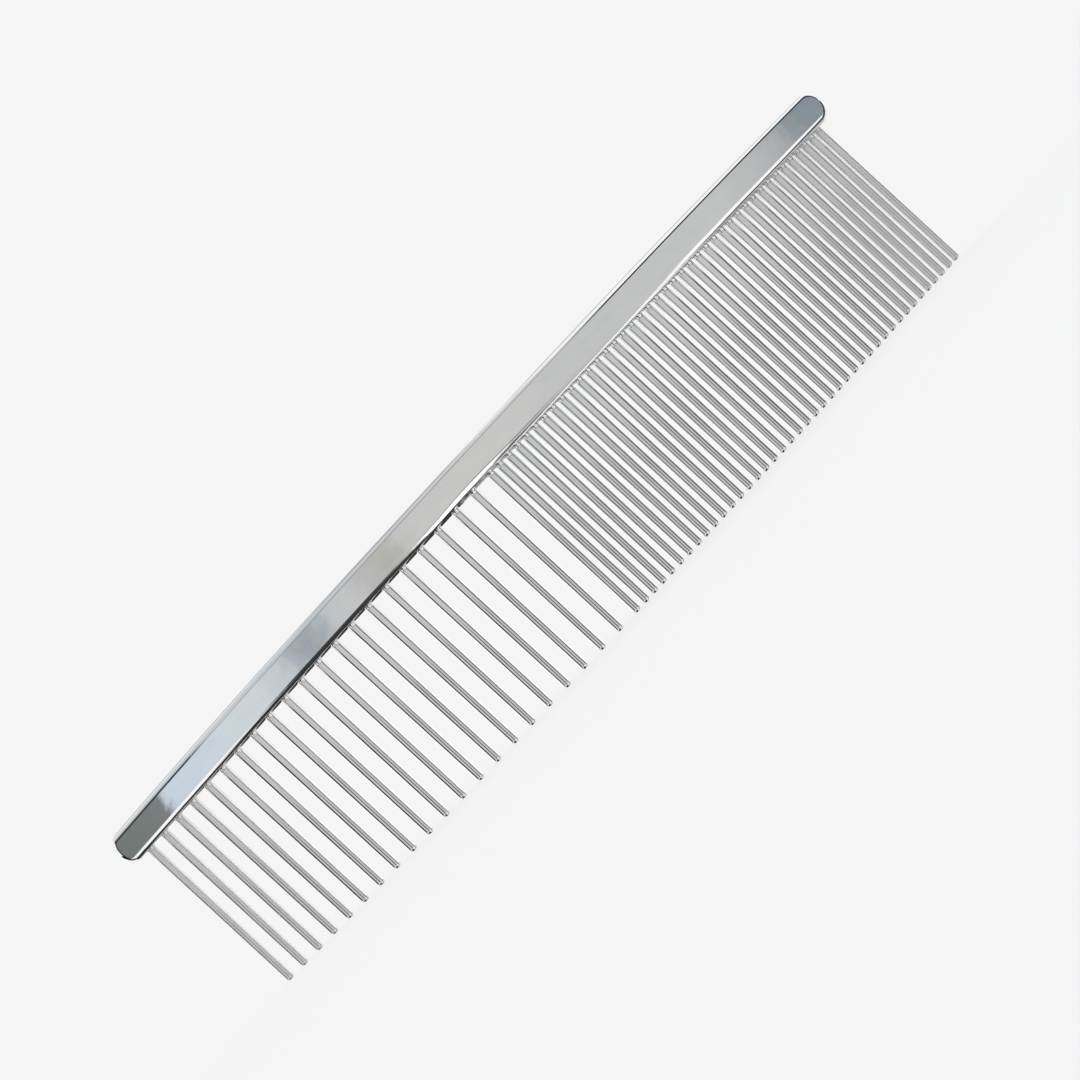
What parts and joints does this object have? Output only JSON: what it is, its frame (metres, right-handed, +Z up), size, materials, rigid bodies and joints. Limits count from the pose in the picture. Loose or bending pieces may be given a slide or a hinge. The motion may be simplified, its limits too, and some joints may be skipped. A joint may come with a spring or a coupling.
{
  "type": "grooming comb",
  "caption": "Curved steel grooming comb: a bar spine with round metal teeth, widely spaced on one half and closely spaced on the other.",
  "frame": {"origin": "bottom centre of the whole comb's box, under the middle of the curve, with the tooth tips at z = 0", "axes": "+X along the comb from the coarse end to the fine end, +Z up from the tooth tips to the spine, and the convex front of the spine facing -Y"},
  "size_m": [0.2108, 0.0264, 0.0462],
  "materials": {
    "spine_steel": "mirror-polished steel with fine polishing haze",
    "tooth_steel": "polished round steel wire with fine lengthwise drawing marks"
  },
  "bodies": {
    "root": {"spine": "spine_steel", "coarse_tooth_01": "tooth_steel", "coarse_tooth_02": "tooth_steel", "coarse_tooth_03": "tooth_steel", "coarse_tooth_04": "tooth_steel", "coarse_tooth_05": "tooth_steel", "coarse_tooth_06": "tooth_steel", "coarse_tooth_07": "tooth_steel", "coarse_tooth_08": "tooth_steel", "coarse_tooth_09": "tooth_steel", "coarse_tooth_10": "tooth_steel", "coarse_tooth_11": "tooth_steel", "coarse_tooth_12": "tooth_steel", "coarse_tooth_13": "tooth_steel", "coarse_tooth_14": "tooth_steel", "coarse_tooth_15": "tooth_steel", "coarse_tooth_16": "tooth_steel", "coarse_tooth_17": "tooth_steel", "coarse_tooth_18": "tooth_steel", "coarse_tooth_19": "tooth_steel", "coarse_tooth_20": "tooth_steel", "coarse_tooth_21": "tooth_steel", "fine_tooth_01": "tooth_steel", "fine_tooth_02": "tooth_steel", "fine_tooth_03": "tooth_steel", "fine_tooth_04": "tooth_steel", "fine_tooth_05": "tooth_steel", "fine_tooth_06": "tooth_steel", "fine_tooth_07": "tooth_steel", "fine_tooth_08": "tooth_steel", "fine_tooth_09": "tooth_steel", "fine_tooth_10": "tooth_steel", "fine_tooth_11": "tooth_steel", "fine_tooth_12": "tooth_steel", "fine_tooth_13": "tooth_steel", "fine_tooth_14": "tooth_steel", "fine_tooth_15": "tooth_steel", "fine_tooth_16": "tooth_steel", "fine_tooth_17": "tooth_steel", "fine_tooth_18": "tooth_steel", "fine_tooth_19": "tooth_steel", "fine_tooth_20": "tooth_steel", "fine_tooth_21": "tooth_steel", "fine_tooth_22": "tooth_steel", "fine_tooth_23": "tooth_steel", "fine_tooth_24": "tooth_steel", "fine_tooth_25": "tooth_steel", "fine_tooth_26": "tooth_steel", "fine_tooth_27": "tooth_steel", "fine_tooth_28": "tooth_steel", "fine_tooth_29": "tooth_steel", "fine_tooth_30": "tooth_steel", "fine_tooth_31": "tooth_steel", "fine_tooth_32": "tooth_steel", "fine_tooth_33": "tooth_steel", "fine_tooth_34": "tooth_steel", "fine_tooth_35": "tooth_steel", "fine_tooth_pair_36_37": "tooth_steel", "fine_tooth_pair_38_39": "tooth_steel", "fine_tooth_pair_40_41": "tooth_steel"}
  },
  "joints": []
}
